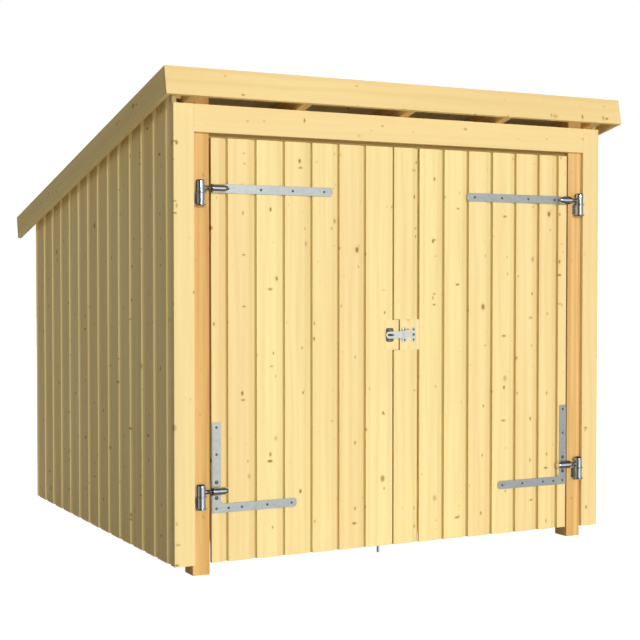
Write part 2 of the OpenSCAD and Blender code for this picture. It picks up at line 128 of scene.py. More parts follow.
# The surround is white where the lens sees it, dim and warm as fill light, and banded like soft boxes from
# left to right for the metal, with the boxes' edges above and below.
world = bpy.data.worlds.new("studio surround")
scene.world = world
world.use_nodes = True
tree = world.node_tree
rays = wire(tree, "LightPath")
way = wire(tree, "SeparateXYZ", {0: wire(tree, "TexCoord").outputs["Generated"]})
bands = wire(tree, "ValToRGB", {0: wire(tree, "MapRange", {0: way.outputs[0], 1: -1.0, 2: 1.0}).outputs[0]})
BANDS = ((0.0, 0.30), (0.08, 0.10), (0.30, 0.06), (0.42, 0.30), (0.50, 0.79), (0.60, 0.78), (0.72, 0.76),
         (0.80, 0.74), (0.92, 0.12), (1.0, 0.35))
for spot, glare in BANDS[1:-1]:
    bands.color_ramp.elements.new(spot)
for stop, (spot, glare) in zip(bands.color_ramp.elements, BANDS):
    stop.position, stop.color = spot, (glare, glare, glare, 1)
BOX_EDGE, SPILL, FOOT_LIGHT, HEAD_LIGHT = (0.22, 0.50), 0.12, (-0.15, 1.35), (0.10, 0.95)
FILL_LEFT, FILL_RIGHT, FILL_TINT, WHITE = 0.145, 0.20, (1.0, 0.95, 0.72), (1, 1, 1, 1)
steep = wire(tree, "Math", {0: way.outputs[2]}, operation="ABSOLUTE").outputs[0]
level = wire(tree, "MapRange", {0: steep, 1: BOX_EDGE[0], 2: BOX_EDGE[1], 3: 1.0, 4: SPILL}).outputs[0]
low = wire(tree, "MapRange", {0: way.outputs[2], 1: FOOT_LIGHT[0], 2: HEAD_LIGHT[0],
                              3: FOOT_LIGHT[1], 4: HEAD_LIGHT[1]}).outputs[0]
level = wire(tree, "Math", {0: level, 1: low}, operation="MULTIPLY").outputs[0]
boxes = wire(tree, "VectorMath", {0: bands.outputs[0], 1: level}, operation="MULTIPLY").outputs[0]
dim = wire(tree, "MapRange", {0: way.outputs[0], 1: -1.0, 2: 1.0, 3: FILL_LEFT, 4: FILL_RIGHT}).outputs[0]
warm = wire(tree, "VectorMath", {0: dim, 1: FILL_TINT}, operation="MULTIPLY").outputs[0]
mirrored, direct = rays.outputs["Is Glossy Ray"], rays.outputs["Is Camera Ray"]
fill = wire(tree, "Mix", {0: mirrored, 6: warm, 7: boxes}, data_type="RGBA").outputs[2]
seen = wire(tree, "Mix", {0: direct, 6: fill, 7: WHITE}, data_type="RGBA").outputs[2]
tree.links.new(seen, tree.nodes["Background"].inputs["Color"])


# Corner posts: squared spruce, planed, with eased arrises. They stand on the ground, carry the walls and
# the hinges, and run up between the rafters to the roof boards, cut there to the slope.
PITCH = math.radians(12.4)
FASCIA_T, FASCIA_H = 0.020, 0.125
RAFTER_H = 0.095
eave_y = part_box("front_fascia")[0].y
eave_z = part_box("front_fascia")[1].z - FASCIA_H * math.cos(PITCH)
draw = random.Random(41)


def roof(y, lift):
    """Height at y of the plane that lies lift above the undersides of the rafters."""
    return eave_z - (y - eave_y) * math.tan(PITCH) + lift / math.cos(PITCH)


def spruce(name, pale, warm, late, late_share, knot_share, streak_share):
    """Planed softwood: pale early wood with warmer late-wood lines, faint streaks and small brown knots."""
    wood = bpy.data.materials.new(name)
    wood.use_nodes = True
    tree = wood.node_tree
    grain = wire(tree, "Attribute", attribute_name="grain").outputs["Vector"]
    tone = wire(tree, "Attribute", attribute_name="tone").outputs["Fac"]
    # The edge attribute marks the moulded edges between boards that get painted shade.
    edge = wire(tree, "Attribute", attribute_name="edge").outputs["Fac"]

    # The wander of the rings, streaks of 20 mm by 1.1 m and cloudy patches of 0.25 m by 1.6 m, as planed
    # softwood shows: the size across and along the grain, and how finely each is broken up.
    CLOUDS = ((0.16, 0.9, 2.0), (0.020, 1.1, 2.0), (0.25, 1.6, 1.0))
    clouds = []
    for across, along, detail in CLOUDS:
        sizes = (1 / across, 1 / along, 1 / across)
        spread = wire(tree, "VectorMath", {0: grain, 1: sizes}, operation="MULTIPLY").outputs[0]
        clouds.append(wire(tree, "TexNoise", {"Vector": spread, "Scale": 1.0, "Detail": detail}).outputs)
    wander, streak, patch = clouds[0]["Color"], clouds[1][0], clouds[2][0]

    # Growth rings are about 3 mm apart; they are drawn 30 mm apart, as finer ones can't show in the picture.
    RING, WANDER = 0.030, (0.050, 0.050, 0.050)
    pith = wire(tree, "VectorMath", {0: wander, 1: WANDER, 2: grain}, operation="MULTIPLY_ADD").outputs[0]
    flat = wire(tree, "VectorMath", {0: pith, 1: (1, 0, 1)}, operation="MULTIPLY").outputs[0]
    radius = wire(tree, "VectorMath", {0: flat}, operation="LENGTH").outputs["Value"]
    turns = wire(tree, "Math", {0: radius, 1: 2 * math.pi / RING}, operation="MULTIPLY").outputs[0]
    wave = wire(tree, "Math", {0: turns}, operation="SINE").outputs[0]
    ring = wire(tree, "MapRange", {0: wave, 1: -0.2, 2: 1.0}, interpolation_type="SMOOTHSTEP").outputs[0]

    cast = wire(tree, "MapRange", {0: patch, 1: 0.3, 2: 0.7, 3: -0.25, 4: 0.25}).outputs[0]
    mixing = wire(tree, "Math", {0: tone, 1: cast}, operation="ADD", use_clamp=True).outputs[0]
    ground = wire(tree, "Mix", {0: mixing, 6: linear(pale), 7: linear(warm)}, data_type="RGBA").outputs[2]
    lines = wire(tree, "Math", {0: ring, 1: late_share}, operation="MULTIPLY").outputs[0]
    lined = wire(tree, "Mix", {0: lines, 6: ground, 7: linear(late)}, data_type="RGBA").outputs[2]
    veil = wire(tree, "MapRange", {0: streak, 1: 0.42, 2: 0.72, 3: 0.0, 4: streak_share}).outputs[0]
    veined = wire(tree, "Mix", {0: veil, 6: lined, 7: linear(late)}, data_type="RGBA").outputs[2]

    # Pin knots drawn out along the grain, whiskers cut across it, and a few live knots: the room each has
    # across and along, how rare it is, and its largest radius as a share of the room.
    KNOTS = ((0.09, 0.15, 0.0, 0.068), (0.16, 0.08, 0.70, 0.080), (0.30, 0.42, 0.45, 0.040))
    colour = veined
    for across, along, spare, widest in KNOTS:
        sizes = (1 / across, 1 / along, 1.0)
        room = wire(tree, "VectorMath", {0: grain, 1: sizes}, operation="MULTIPLY").outputs[0]
        cell = wire(tree, "TexVoronoi", {"Vector": room, "Scale": 1.0}, voronoi_dimensions="2D")
        lot = wire(tree, "SeparateColor", {0: cell.outputs["Color"]})
        size = {0: lot.outputs[0], 1: spare, 2: 1.0, 3: -widest, 4: widest}
        reach = wire(tree, "MapRange", size).outputs[0]
        inside = wire(tree, "Math", {0: reach, 1: cell.outputs["Distance"]}, operation="SUBTRACT").outputs[0]
        depth = wire(tree, "MapRange", {0: lot.outputs[1], 3: 0.35 * knot_share, 4: knot_share}).outputs[0]
        halo = wire(tree, "MapRange", {0: inside, 1: -widest, 2: 0.2 * widest, 3: 0.0, 4: 0.35}).outputs[0]
        core = wire(tree, "MapRange", {0: inside, 1: -0.15 * widest, 2: 0.35 * widest}).outputs[0]
        halo = wire(tree, "Math", {0: halo, 1: depth}, operation="MULTIPLY").outputs[0]
        core = wire(tree, "Math", {0: core, 1: depth}, operation="MULTIPLY").outputs[0]
        colour = wire(tree, "Mix", {0: halo, 6: colour, 7: linear("#dcb06a")}, data_type="RGBA").outputs[2]
        colour = wire(tree, "Mix", {0: core, 6: colour, 7: linear("#8f6c34")}, data_type="RGBA").outputs[2]
    # Painted shade: the moulded edges between boards, the groove beside each joint most and the nose's side
    # less, are darkened towards a dull olive that stands in for the shade in the joints.
    colour = wire(tree, "Mix", {0: edge, 6: colour, 7: linear("#a58d45")}, data_type="RGBA").outputs[2]

    shader = tree.nodes["Principled BSDF"]
    tree.links.new(colour, shader.inputs["Base Color"])
    sheen = wire(tree, "MapRange", {0: streak, 3: 0.50, 4: 0.66}).outputs[0]
    tree.links.new(sheen, shader.inputs["Roughness"])
    shader.inputs["Specular IOR Level"].default_value = 0.30
    relief = wire(tree, "Math", {0: ring, 1: streak}, operation="ADD").outputs[0]
    bump = wire(tree, "Bump", {"Strength": 0.35, "Distance": 0.0006, "Height": relief}).outputs[0]
    tree.links.new(bump, shader.inputs["Normal"])
    return wood


def oblong(width, depth):
    """Section of a squared board."""
    return [(0, 0), (width, 0), (width, depth), (0, depth)]


def eased(outline, ease):
    """The outline with each outer corner rounded over by the plane."""
    # The most that a rounding takes of the sides beside it, and how full it is.
    SIDE_SHARE, FULLNESS = 0.4, 0.42
    ring, count = [], len(outline)
    for i, (x, y) in enumerate(outline):
        corner = Vector((x, y))
        back, ahead = Vector(outline[i - 1]) - corner, Vector(outline[(i + 1) % count]) - corner
        if back.cross(ahead) >= -1e-12:
            ring.append(corner)
            continue
        r = min(ease, back.length * SIDE_SHARE, ahead.length * SIDE_SHARE)
        a, b = corner + back.normalized() * r, corner + ahead.normalized() * r
        middle = (a + b) / 2
        ring += [a, middle + (corner - middle) * FULLNESS, b]
    return ring


def saw(stack, outline, place, foot, head, ease=0.0015, tone=None, shift=None, crisp=(), edge=None):
    """Adds one board to a stack: its outline, with eased arrises, carried from its foot to its head."""
    END_EASE, OFF_PITH, LOG, DEPTHS = 0.6, 0.05, 60, (0.015, 0.075)
    ring = eased(outline, ease)
    count = len(ring)
    inner = []
    for i, p in enumerate(ring):
        along = ring[(i + 1) % count] - ring[i - 1]
        inner.append(p - Vector((along.y, -along.x)).normalized() * ease * END_EASE)
    middle = (min(p.x for p in ring) + max(p.x for p in ring)) / 2
    # Each board comes from a place of its own in a log: beside the pith, along the log and out from the pith.
    if shift is None:
        shift = (draw.uniform(-OFF_PITH, OFF_PITH) - middle, draw.uniform(0, LOG), draw.uniform(*DEPTHS))
    tone = draw.random() if tone is None else tone
    first = len(stack["points"])
    for loop, end, step in ((inner, foot, 0), (ring, foot, ease), (ring, head, -ease), (inner, head, 0)):
        if end in crisp:
            loop, step = ring, 0.0
        for p in loop:
            s = (end(p.x, p.y) if callable(end) else end) + step
            stack["points"].append(place(p.x, p.y, s))
            stack["grain"].append((p.x + shift[0], s + shift[1], p.y + shift[2]))
            stack["tone"].append(tone)
            stack["edge"].append(edge(p.x, p.y) if edge else 0.0)
    faces = stack["faces"]
    faces.append([first + i for i in reversed(range(count))])
    faces.append([first + 3 * count + i for i in range(count)])
    for k in range(3):
        for i in range(count):
            j, low = (i + 1) % count, first + k * count
            faces.append([low + i, low + j, low + j + count, low + i + count])


def pile():
    """An empty stack of boards."""
    return {"points": [], "faces": [], "grain": [], "tone": [], "edge": []}


def settle(mesh, name, material, body, nodes):
    """Shades a mesh by its broad faces, rides it on its body and lets it stand for its nodes."""
    SHARP = math.radians(50)
    for face in mesh.polygons:
        face.use_smooth = True
    mesh.set_sharp_from_angle(angle=SHARP)
    mesh.materials.append(material)
    piece = bpy.data.objects.new(name, mesh)
    scene.collection.objects.link(piece)
    # The posts and corner boards stay out of the reflections, which keeps the hinges grey beside them.
    piece.visible_glossy = not any("post" in node or "corner" in node for node in nodes)
    piece.modifiers.new("broad faces", "WEIGHTED_NORMAL").keep_sharp = True
    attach(piece, body)
    if nodes:
        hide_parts(*nodes)


def fit(name, stack, material, body, slot, *nodes):
    """Makes one piece of a stack."""
    mesh = bpy.data.meshes.new(name)
    mesh.from_pydata(stack["points"], [], stack["faces"])
    if stack["grain"]:
        mesh.attributes.new("grain", "FLOAT_VECTOR", "POINT").data.foreach_set(
            "vector", [c for g in stack["grain"] for c in g])
        for trait in ("tone", "edge"):
            mesh.attributes.new(trait, "FLOAT", "POINT").data.foreach_set("value", stack[trait])
    build = bmesh.new()
    build.from_mesh(mesh)
    bmesh.ops.remove_doubles(build, verts=build.verts, dist=1e-7)
    bmesh.ops.recalc_face_normals(build, faces=build.faces)
    build.to_mesh(mesh)
    build.free()
    settle(mesh, name, material, body, nodes)


# Heart-side spruce: warmer than the boards, with clear upright lines from the saw and the grain.
post_spruce = spruce("planed heart spruce", "#f1ce8d", "#e3b56f", "#c08a44", 0.24, 0.30, 0.50)
POST_EASE = 0.004
for name in ("front_left_post", "front_right_post", "back_left_post", "back_right_post"):
    lo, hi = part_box(name)
    stack = pile()
    saw(stack, oblong(hi.x - lo.x, hi.y - lo.y), lambda a, t, s: (lo.x + a, lo.y + t, s),
        0.0, lambda a, t: roof(lo.y + t, RAFTER_H), POST_EASE)
    fit(name.replace("_post", "_corner_post"), stack, post_spruce, "shed", "spruce_frame", name)


# Beam, back plate and rails: planed spruce joists nailed between and behind the posts. The beam and the
# plate are bevelled on top to carry the rafters, and a sloping batten holds the heads of the side boards.
# A planed joist is honey-coloured, with plain late-wood lines.
frame_spruce = spruce("planed spruce joist", "#f4d79c", "#e9c080", "#cf9c58", 0.30, 0.6, 0.40)
BEAM_EASE = 0.003
# Painted shade: the beam gets a darker wood than the other joists, so that where it shows in the gap above
# the doors it reads as lying in shade.
beam_spruce_painted_shade = spruce("spruce joist darkened as painted shade", "#b5975a", "#a58549", "#836631", 0.30, 0.6, 0.40)
beams = (("front_beam", "door_beam", beam_spruce_painted_shade), ("back_top_plate", "rear_plate", frame_spruce))
for name, label, wood in beams:
    lo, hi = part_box(name)
    stack = pile()
    section = [(lo.y, lo.z), (hi.y, lo.z), (hi.y, roof(hi.y, 0)), (lo.y, roof(lo.y, 0))]
    saw(stack, section, lambda a, t, s: (s, a, t), lo.x, hi.x, BEAM_EASE)
    fit(label, stack, wood, "shed", "spruce_frame", name)
RAIL_H, RAIL_Z = 0.045, (0.090, 0.9665)
lo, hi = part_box("back_wall_rails")
stack = pile()
for z in RAIL_Z:
    saw(stack, oblong(hi.y - lo.y, RAIL_H), lambda a, t, s: (s, lo.y + a, z + t), lo.x, hi.x, BEAM_EASE)
fit("rear_rails", stack, frame_spruce, "shed", "spruce_frame", "back_wall_rails")


def on_roof(x, down, lift):
    """A point x across, down the slope from the eave and lift above the undersides of the rafters."""
    return (x, eave_y + down * math.cos(PITCH) + lift * math.sin(PITCH),
            eave_z - down * math.sin(PITCH) + lift * math.cos(PITCH))


BATTEN_T = 0.025
for side, sign in (("left", -1), ("right", 1)):
    lo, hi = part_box(side + "_wall_rails")
    stack = pile()
    for z in RAIL_Z:
        saw(stack, oblong(hi.x - lo.x, RAIL_H), lambda a, t, s: (lo.x + a, s, z + t), lo.y, hi.y, BEAM_EASE)
    edge = lo.x if sign < 0 else hi.x - BATTEN_T
    start = (lo.y - eave_y) / math.cos(PITCH)
    length = (hi.y - lo.y - RAFTER_H * math.sin(PITCH)) / math.cos(PITCH)
    saw(stack, oblong(BATTEN_T, RAIL_H), lambda a, t, s: on_roof(edge + a, s, (RAFTER_H - RAIL_H) / 2 + t),
        start, start + length, BEAM_EASE)
    fit(side + "_rails", stack, frame_spruce, "shed", "spruce_frame", side + "_wall_rails")


# Wall cladding: upright planed spruce boards, 20 mm thick, nailed to the rails. One edge of each board is
# bevelled and runs on as a tongue; the other has a nose that laps over the next tongue with a shadow gap.
BOARD_T, BEVEL_D, BEVEL_SHARE = 0.020, 0.015, 0.28
TONGUE, NOSE, GAP, GROOVE, FADE, SAW_GAP = 0.0080, 0.0095, 0.0009, 0.0040, 0.003, 0.0004
# The painted shade in the joints: how dark the groove and the nose's side are, and how near a point must lie
# to count as theirs.
GROOVE_SHADE, NOSE_SHADE, NOSE_EDGE, HAIR = 0.75, 0.35, 0.001, 0.0001
WALL_PITCH, FIRST_JOINT = 0.1614, 0.036


def lap_board(width, bevel):
    """Section of a lapped board, from its bevelled edge at 0 to its nose at width."""
    low = BOARD_T - BEVEL_D
    return [(-TONGUE, 0), (width - NOSE, 0), (width - NOSE, low + GAP), (width - SAW_GAP, low + GAP),
            (width - SAW_GAP, BOARD_T), (bevel, BOARD_T),
            (GROOVE + FADE, low + BEVEL_D * FADE / (bevel - GROOVE)), (GROOVE, low), (-TONGUE, low)]


def painted_groove_shade(joint, width):
    """How much painted shade the moulded edges get: the groove beside the joint most, the nose half as much.
    """
    def edge(x, y):
        if y < BOARD_T - BEVEL_D + HAIR and x < joint + GROOVE + HAIR:
            return GROOVE_SHADE
        return NOSE_SHADE if y < BOARD_T - NOSE_EDGE and x > joint + width - NOSE_EDGE else 0.0
    return edge


def between(outline, low, high):
    """The part of an outline that lies between two saw cuts."""
    for cut, keep in ((low, 1), (high, -1)):
        kept = []
        for i, (x, y) in enumerate(outline):
            px, py = outline[i - 1]
            if ((px - cut) * keep > 0) != ((x - cut) * keep > 0):
                kept.append((cut, py + (y - py) * (cut - px) / (x - px)))
            if (x - cut) * keep > 0:
                kept.append((x, y))
        outline = kept
    return outline


# Pale sapwood boards, planed smooth: cream to honey, a little different from board to board.
board_spruce = spruce("planed sapwood spruce", "#f9e7a9", "#f4dba0", "#e6c585", 0.20, 0.90, 0.30)
FOOT = 0.050
walls = (
    ("left", lambda a, t, s: (x_in - t, y_start + a, s), lambda a, t: roof(y_start + a, RAFTER_H)),
    ("right", lambda a, t, s: (x_in + t, y_start + a, s), lambda a, t: roof(y_start + a, RAFTER_H)),
    ("back", lambda a, t, s: (x_in + a, y_start + t, s), lambda a, t: roof(y_start + t, 0)),
)
for side, place, head in walls:
    lo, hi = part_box(side + "_wall_cladding")
    x_in = {"left": hi.x, "right": lo.x, "back": lo.x}[side]
    y_start = lo.y
    run = hi.x - lo.x if side == "back" else hi.y - lo.y
    stack = pile()
    for i in range(-1, math.ceil((run - FIRST_JOINT) / WALL_PITCH)):
        joint = FIRST_JOINT + i * WALL_PITCH
        section = lap_board(WALL_PITCH, WALL_PITCH * BEVEL_SHARE)
        section = between([(joint + a, t) for a, t in section], 0.0, run)
        if len(section) > 2:
            saw(stack, section, place, FOOT, head, edge=painted_groove_shade(joint, WALL_PITCH))
    fit(side + "_wall_boards", stack, board_spruce, "shed", "spruce_boards", side + "_wall_cladding")


# Corner boards and header: flat planed spruce, 21 mm, nailed over the ends of the side boards and the
# posts so that they frame the doors; their tops follow the slope of the roof.
# Flat planed trim is pale and even, with fewer lines than the lapped boards.
trim_spruce = spruce("planed spruce trim", "#f5dfa4", "#f0d89d", "#e3c286", 0.14, 0.90, 0.22)
TRIM_EASE = 0.002
for side in ("left", "right"):
    name = "front_%s_corner_board" % side
    lo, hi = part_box(name)
    stack = pile()
    saw(stack, oblong(hi.x - lo.x, hi.y - lo.y), lambda a, t, s: (lo.x + a, lo.y + t, s),
        lo.z, lambda a, t: roof(lo.y + t, 0), TRIM_EASE)
    fit("front_%s_corner_trim" % side, stack, trim_spruce, "shed", "spruce_boards", name)
lo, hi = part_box("header_board")
stack = pile()
section = [(lo.y, lo.z), (hi.y, lo.z), (hi.y, roof(hi.y, 0)), (lo.y, roof(lo.y, 0))]
saw(stack, [(z, -y) for y, z in section], lambda a, t, s: (s, -t, a), lo.x, hi.x, TRIM_EASE)
fit("door_header", stack, trim_spruce, "shed", "spruce_boards", "header_board")


# Rafters: planed spruce joists on edge, laid on the beam and the plate, one beside each post and three
# between, running out from the fascia at the front to the roof's edge at the back.
RAFTER_W, OUTER_RAFTER, ROOF_SKIN = 0.045, 1.0705, 0.018 + 0.003
roof_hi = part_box("front_fascia")[1].x
roof_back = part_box("roof_felt")[1].y - (RAFTER_H + ROOF_SKIN) * math.sin(PITCH)
roof_run = (roof_back - eave_y) / math.cos(PITCH)
stack = pile()
for i in range(-2, 3):
    x = OUTER_RAFTER * i / 2 - RAFTER_W / 2
    saw(stack, oblong(RAFTER_W, RAFTER_H), lambda a, t, s: on_roof(x + a, s, t),
        FASCIA_T, roof_run, BEAM_EASE)
fit("roof_rafters", stack, frame_spruce, "shed", "spruce_frame", "rafters")


# Roof boards: tongued spruce boards nailed across the rafters, best face down, with a V-joint between
# each two that shows from the inside and under the eaves.
DECK_T, V_JOINT, DECK_COUNT, DECK_EASE = 0.018, 0.004, 20, 0.001
deck_in = FASCIA_T
deck_pitch = (roof_run - deck_in) / DECK_COUNT
# Their planed undersides are the palest wood here, so the gap under the eave is dim but not red.
deck_spruce = spruce("tongued spruce roof board", "#f6ecd2", "#e9dcb8", "#cdb98e", 0.32, 0.8, 0.35)
stack = pile()
for i in range(DECK_COUNT):
    w = deck_pitch - SAW_GAP
    section = [(V_JOINT, 0), (w - V_JOINT, 0), (w, V_JOINT), (w, DECK_T), (0, DECK_T), (0, V_JOINT)]
    down = deck_in + i * deck_pitch
    saw(stack, section, lambda a, t, s: on_roof(s, down + a, RAFTER_H + t),
        -roof_hi + FASCIA_T, roof_hi - FASCIA_T, DECK_EASE)
fit("roof_deck", stack, deck_spruce, "shed", "spruce_boards", "roof_boards")


# Roofing felt: three sheets of mineral-faced bitumen felt rolled out across the fall, each lapped over the
# one below it, and nailed to the roof boards.
FELT_T, LAP, CRANK, SHEETS, FELT_EASE = 0.0022, 0.080, 0.010, 3, 0.0006
# Bitumen felt faced with slate grit is almost black and rough, with paler specks.
felt = bpy.data.materials.new("mineral-faced bitumen felt")
felt.use_nodes = True
tree = felt.node_tree
here = wire(tree, "Attribute", attribute_name="grain").outputs["Vector"]
# Slate granules are about 1.5 mm; they are drawn 5 mm wide so that the grit still shows in the picture.
GRIT, STAIN = 0.005, 0.6
grit = wire(tree, "TexVoronoi", {"Vector": here, "Scale": 1 / GRIT}).outputs["Color"]
grit = wire(tree, "SeparateColor", {0: grit}).outputs[0]
stain = wire(tree, "TexNoise", {"Vector": here, "Scale": 1 / STAIN, "Detail": 4.0}).outputs[0]
slate = {0: stain, 6: linear("#3f4142"), 7: linear("#5a5b5a")}
ground = wire(tree, "Mix", slate, data_type="RGBA").outputs[2]
speck = wire(tree, "MapRange", {0: grit, 1: 0.45, 2: 1.0, 3: 0.0, 4: 0.55}).outputs[0]
colour = wire(tree, "Mix", {0: speck, 6: ground, 7: linear("#85878a")}, data_type="RGBA").outputs[2]
shader = tree.nodes["Principled BSDF"]
tree.links.new(colour, shader.inputs["Base Color"])
tree.links.new(wire(tree, "MapRange", {0: grit, 3: 0.95, 4: 0.72}).outputs[0], shader.inputs["Roughness"])
tree.links.new(wire(tree, "Bump", {"Strength": 0.6, "Distance": 0.0012, "Height": grit}).outputs[0],
               shader.inputs["Normal"])
end = (roof_run - deck_in + LAP * (SHEETS - 1)) / SHEETS
base = RAFTER_H + DECK_T
stack = pile()
for i in range(SHEETS):
    down = deck_in + i * (end - LAP)
    if i < SHEETS - 1:
        section = [(0, 0), (end - LAP - CRANK, 0), (end - LAP, FELT_T), (end, FELT_T), (end, 2 * FELT_T),
                   (end - LAP - CRANK / 2, 2 * FELT_T), (end - LAP - CRANK * 1.5, FELT_T), (0, FELT_T)]
    else:
        section = oblong(end, FELT_T)
    saw(stack, section, lambda a, t, s: on_roof(s, down + a, base + t),
        -roof_hi + FASCIA_T, roof_hi - FASCIA_T, FELT_EASE)
fit("roof_felt_sheets", stack, felt, "shed", "roofing_felt", "roof_felt")


# Fascia boards: flat planed spruce nailed along the front and both sides of the roof, the front one over
# the ends of the side ones; the back is left open so that rain runs off.
# Planed fascia boards are pale like the trim, with a little more grain.
fascia_spruce = spruce("planed spruce fascia", "#f6e0a3", "#f1d598", "#dfbc7c", 0.18, 0.85, 0.26)
stack = pile()
saw(stack, oblong(FASCIA_H, FASCIA_T), lambda a, t, s: on_roof(s, FASCIA_T - t, a),
    -roof_hi, roof_hi, TRIM_EASE)
fit("eave_board", stack, fascia_spruce, "shed", "spruce_boards", "front_fascia")
for side, sign in (("left", -1), ("right", 1)):
    stack = pile()
    saw(stack, oblong(FASCIA_H, FASCIA_T), lambda a, t, s: on_roof(sign * (roof_hi - FASCIA_T + t), s, a),
        FASCIA_T, roof_run, TRIM_EASE)
    fit(side + "_verge_board", stack, fascia_spruce, "shed", "spruce_boards", side + "_fascia")


# Door leaves: lapped boards like the walls, a little narrower, screwed to three ledges. The right leaf's
# first board laps past the middle, and its outermost board is cut to a strip.
DOOR_PITCH, LAP_W, REBATE_D, STRIP_W = 0.1384, 0.005, 0.008, 0.050
left_end, right_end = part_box("left_door_boards")[1].x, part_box("right_lap_board")[0].x
leaf_out, door_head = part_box("right_door_boards")[1].x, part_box("right_door_boards")[1].z
block_lo, block_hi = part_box("left_lock_block")
y_face, y_back = block_lo.y, block_hi.y
lap_end = right_end + DOOR_PITCH


def door_board(stack, start, joint, width, length):
    """One lapped board of a leaf, its bevelled edge joint to the left of start; cut at 0 and at length."""
    section = lap_board(width, DOOR_PITCH * BEVEL_SHARE)
    section = between([(joint + a, t) for a, t in section], 0.0, length)
    saw(stack, section, lambda a, t, s: (start - a, y_back - t, s), FOOT, door_head,
        edge=painted_groove_shade(joint, width))


# The board beside the joint has a rebate instead of a groove, and a notch for its lock block.
stack = pile()
run = leaf_out + left_end
rebate = BOARD_T - REBATE_D
TONGUE_OUT, BLOCK_GROW, PAST_GROOVE = 0.0035, 0.003, 0.010
bevel_end = LAP_W + DOOR_PITCH * BEVEL_SHARE * REBATE_D / BEVEL_D
section = [(a, t) for a, t in lap_board(LAP_W + DOOR_PITCH, bevel_end) if a > LAP_W + PAST_GROOVE]
section += [(LAP_W, rebate), (-TONGUE_OUT, rebate), (-TONGUE_OUT, 0)]
narrow = between(section, left_end - block_lo.x, run)
# One tone and one place in the grain, so that the lengths above, beside and below a block read as one board.
REBATED_TONE, REBATED_GRAIN, LAP_TONE, LAP_GRAIN = 0.35, (-0.06, 23.0, 0.04), 0.5, (-0.03, 31.0, 0.05)
cuts = (FOOT, block_lo.z - BLOCK_GROW, block_hi.z + BLOCK_GROW, door_head)
for part, foot, head in zip((section, narrow, section), cuts, cuts[1:]):
    saw(stack, part, lambda a, t, s: (left_end - a, y_back - t, s), foot, head,
        tone=REBATED_TONE, shift=REBATED_GRAIN, crisp=cuts[1:3], edge=painted_groove_shade(0, LAP_W + DOOR_PITCH))
joint = LAP_W + DOOR_PITCH
while joint < run:
    door_board(stack, left_end, joint, DOOR_PITCH, run)
    joint += DOOR_PITCH
fit("left_leaf_boards", stack, board_spruce, "left_door", "spruce_boards", "left_door_boards")
stack = pile()
run = leaf_out - lap_end
count = math.floor((run - STRIP_W) / DOOR_PITCH)
joint = run - count * DOOR_PITCH
door_board(stack, leaf_out, STRIP_W - DOOR_PITCH, DOOR_PITCH, run)
door_board(stack, leaf_out, STRIP_W, joint - STRIP_W, run)
for i in range(count):
    door_board(stack, leaf_out, joint + i * DOOR_PITCH, DOOR_PITCH, run)
fit("right_leaf_boards", stack, board_spruce, "right_door", "spruce_boards", "right_door_boards")
lap_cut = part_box("right_lock_block")
section = lap_board(DOOR_PITCH, DOOR_PITCH * BEVEL_SHARE)
section = [(0, 0), (DOOR_PITCH, 0), (DOOR_PITCH, BOARD_T)] + section[5:8] + [(0, section[7][1])]
stack = pile()
for foot, head in ((FOOT, lap_cut[0].z), (lap_cut[1].z, door_head)):
    saw(stack, section, lambda a, t, s: (lap_end - a, y_back - t, s), foot, head,
        tone=LAP_TONE, shift=LAP_GRAIN, edge=painted_groove_shade(0, DOOR_PITCH))
fit("right_leaf_lap_board", stack, board_spruce, "right_door", "spruce_boards", "right_lap_board")


# Ledges and lock blocks: planed spruce; the ledges run across the backs of the boards, and the blocks are
# let in flush with the boards at half height to carry the hasp.
LEDGE_H, LEDGE_Z, LEDGE_BACK = 0.095, (0.288, 1.034, 1.688), 0.002
BLOCK_EASE, BLOCK_TONE = 0.001, 0.4
for side in ("left", "right"):
    lo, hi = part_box(side + "_door_ledges")
    stack = pile()
    for z in LEDGE_Z:
        start, end = lo.x, hi.x
        if z != LEDGE_Z[1]:
            start, end = (lo.x, left_end - LEDGE_BACK) if side == "left" else (right_end + LEDGE_BACK, hi.x)
        elif side == "right":
            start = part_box("right_lock_block")[0].x
        saw(stack, oblong(LEDGE_H, hi.y - lo.y), lambda a, t, s: (s, hi.y - t, z - LEDGE_H / 2 + a),
            start, end, BEAM_EASE)
    fit(side + "_leaf_ledges", stack, frame_spruce, side + "_door", "spruce_frame", side + "_door_ledges")
    lo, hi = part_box(side + "_lock_block")
    stack = pile()
    grow = BLOCK_GROW if side == "left" else 0.0
    saw(stack, oblong(hi.x - lo.x, hi.y - lo.y), lambda a, t, s: (lo.x + a, lo.y + t, s),
        lo.z - grow, hi.z + grow, BLOCK_EASE, BLOCK_TONE)
    fit(side + "_leaf_lock_block", stack, board_spruce, side + "_door", "spruce_boards", side + "_lock_block")


# Hinges: a pin on a plate bolted to each post, an eye that turns on it, and a threaded rod from the eye
# into the sleeve of a strap screwed to the leaf. The pins and eyes are turned, the straps cut from flat bar.
def dressed(node, name, material, body, bevel):
    """The node's own form with its arrises broken, as a forged or sheared steel part has them."""
    ARRIS = math.radians(32)
    build = bmesh.new()
    build.from_mesh(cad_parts[node].data)
    bmesh.ops.remove_doubles(build, verts=build.verts, dist=1e-6)
    bmesh.ops.dissolve_limit(build, angle_limit=math.radians(1), verts=build.verts, edges=build.edges)
    edges = [e for e in build.edges if len(e.link_faces) == 2 and e.calc_face_angle(0) > ARRIS]
    bmesh.ops.bevel(build, geom=edges, offset=bevel, segments=2, profile=0.6, affect="EDGES",
                    clamp_overlap=True)
    mesh = bpy.data.meshes.new(name)
    build.to_mesh(mesh)
    build.free()
    settle(mesh, name, material, body, [node])


